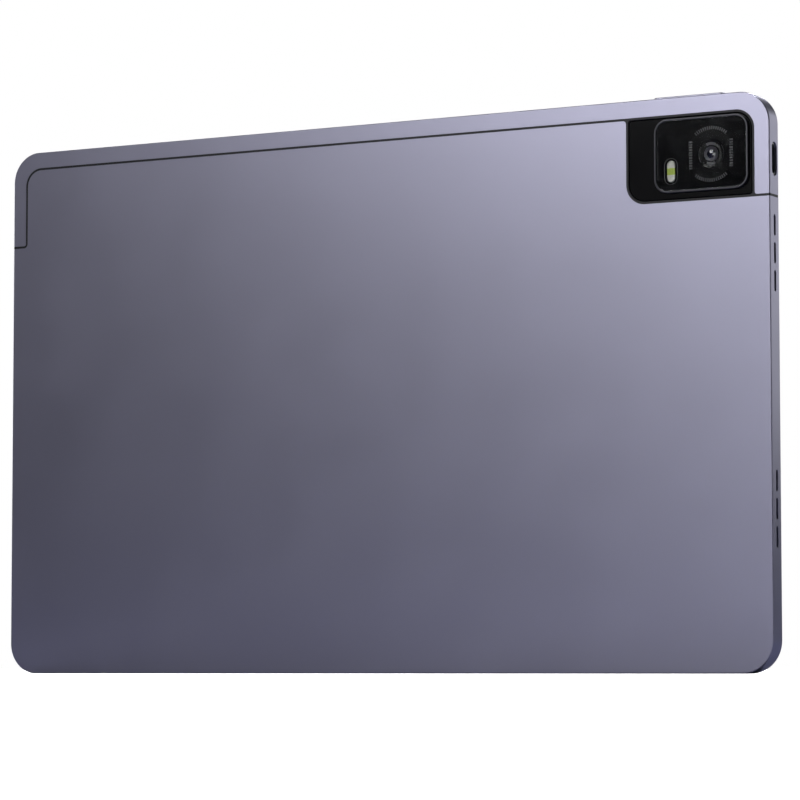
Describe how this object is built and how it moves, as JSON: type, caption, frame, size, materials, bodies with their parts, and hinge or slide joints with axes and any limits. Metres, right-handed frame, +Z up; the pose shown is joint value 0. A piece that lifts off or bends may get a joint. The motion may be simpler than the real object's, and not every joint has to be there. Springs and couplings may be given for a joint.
{
  "type": "tablet computer",
  "caption": "Slab tablet computer with a metal back, a raised rear camera window in a corner, side speaker slots, a volume rocker, a power key and a card tray.",
  "frame": {"origin": "middle of the long bottom edge face, halfway through the thickness", "axes": "+X along the length, to the right as the back is seen; +Y from the back cover to the screen; +Z up"},
  "size_m": [0.2584, 0.0078, 0.1643],
  "materials": {
    "housing_metal": "fine bead-blasted purple-grey anodising",
    "cover_plastic": "painted to match the metal",
    "seam_plastic": "dark grey satin",
    "button_metal": "anodised to match the housing",
    "deck_plastic": "black",
    "polished_metal": "polished edge",
    "clear_glass": "clear, hard coated",
    "flash_plastic": "milky diffuser",
    "panel": "dark switched-off panel",
    "steel": "bare sheet",
    "circuit_board": "solder resist",
    "chip_plastic": "moulded black",
    "copper": "gold-plated copper",
    "flex": "polyimide film",
    "battery": "wrapped pouch cell",
    "speaker_plastic": "moulded black"
  },
  "bodies": {
    "tablet_body": {"antenna_cover": "cover_plastic", "antenna_films": "copper", "backlight_films": "panel", "backlight_tray": "steel", "battery_adhesive": "flex", "battery_cell_left": "battery", "battery_cell_right": "battery", "battery_guard_board": "circuit_board", "battery_tape": "flex", "board_connectors": "chip_plastic", "board_screws": "steel", "camera_barrel": "deck_plastic", "camera_base": "deck_plastic", "camera_deck": "deck_plastic", "camera_lens": "clear_glass", "camera_tape": "flex", "camera_trim_plate": "deck_plastic", "camera_window": "clear_glass", "camera_window_frame": "polished_metal", "card_cage": "steel", "coax_cable": "flex", "cover_glass": "clear_glass", "display_driver_board": "circuit_board", "display_frame": "deck_plastic", "display_tape": "flex", "flash_led": "flash_plastic", "flash_window": "flash_plastic", "front_camera": "deck_plastic", "front_shield": "steel", "lcd_panel": "panel", "lens_ring": "polished_metal", "light_sensor": "deck_plastic", "main_board": "circuit_board", "memory_chip": "chip_plastic", "microphone": "steel", "port_board": "circuit_board", "port_tape": "flex", "power_and_radio_chips": "chip_plastic", "power_switch": "chip_plastic", "processor": "chip_plastic", "rear_housing": "housing_metal", "rear_shield": "steel", "rocker_bracket": "steel", "seam_insert": "seam_plastic", "speaker_box_left_lower": "speaker_plastic", "speaker_box_left_upper": "speaker_plastic", "speaker_box_right_lower": "speaker_plastic", "speaker_box_right_upper": "speaker_plastic", "speaker_diaphragms": "speaker_plastic", "speaker_magnets": "steel", "speaker_meshes": "steel", "storage_chip": "chip_plastic", "thermal_pad": "flex", "usb_contacts": "copper", "usb_shell": "steel", "usb_tongue": "chip_plastic", "volume_switches": "chip_plastic"},
    "rocker": {"volume_rocker": "button_metal"},
    "key": {"power_key": "button_metal"},
    "tray": {"card_tray": "button_metal"}
  },
  "joints": [
    {"name": "volume_rock", "type": "hinge", "parent": "tablet_body", "child": "rocker", "pos_m": [0.10325, -0.0002, 0.16165], "axis": [0, 1, 0], "range_deg": [-1.5, 1.5], "stiffness_Nm_per_rad": 0.6},
    {"name": "power_press", "type": "slide", "parent": "tablet_body", "child": "key", "axis": [1, 0, 0], "range_m": [0, 0.0003], "stiffness_N_per_m": 4000},
    {"name": "tray_pull", "type": "slide", "parent": "tablet_body", "child": "tray", "axis": [-1, 0, 0], "range_m": [0, 0.02]}
  ]
}
